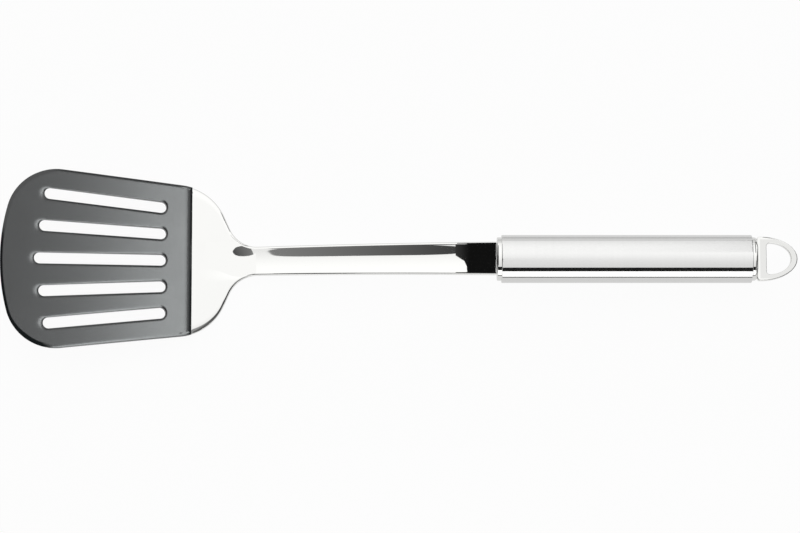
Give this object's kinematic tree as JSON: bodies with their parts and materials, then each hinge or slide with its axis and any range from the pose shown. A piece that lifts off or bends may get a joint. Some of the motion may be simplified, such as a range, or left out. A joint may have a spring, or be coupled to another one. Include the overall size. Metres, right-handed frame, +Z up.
{
  "type": "slotted spatula",
  "caption": "Slotted turning spatula: a wedge-shaped nylon blade on a bent, channelled steel shank, with a round steel tube handle and a flat hanging loop.",
  "frame": {"origin": "on the table, under the middle of the part's box", "axes": "+X along the handle, from the blade towards the hanging loop; +Y across the blade; +Z up from the table that the part lies on"},
  "size_m": [0.3312, 0.075, 0.02],
  "materials": {
    "blade_nylon": "moulded dark grey nylon with a fine satin grain and glossier rounded edges",
    "polished_steel": "stainless steel, stamped and mirror polished",
    "satin_steel": "stainless steel tube, satin finish with fine lines round the tube"
  },
  "bodies": {
    "root": {"slotted_blade": "blade_nylon", "steel_shank": "polished_steel", "front_cap": "polished_steel", "handle_tube": "satin_steel", "rear_cap": "polished_steel", "hanging_loop": "polished_steel"}
  },
  "joints": []
}
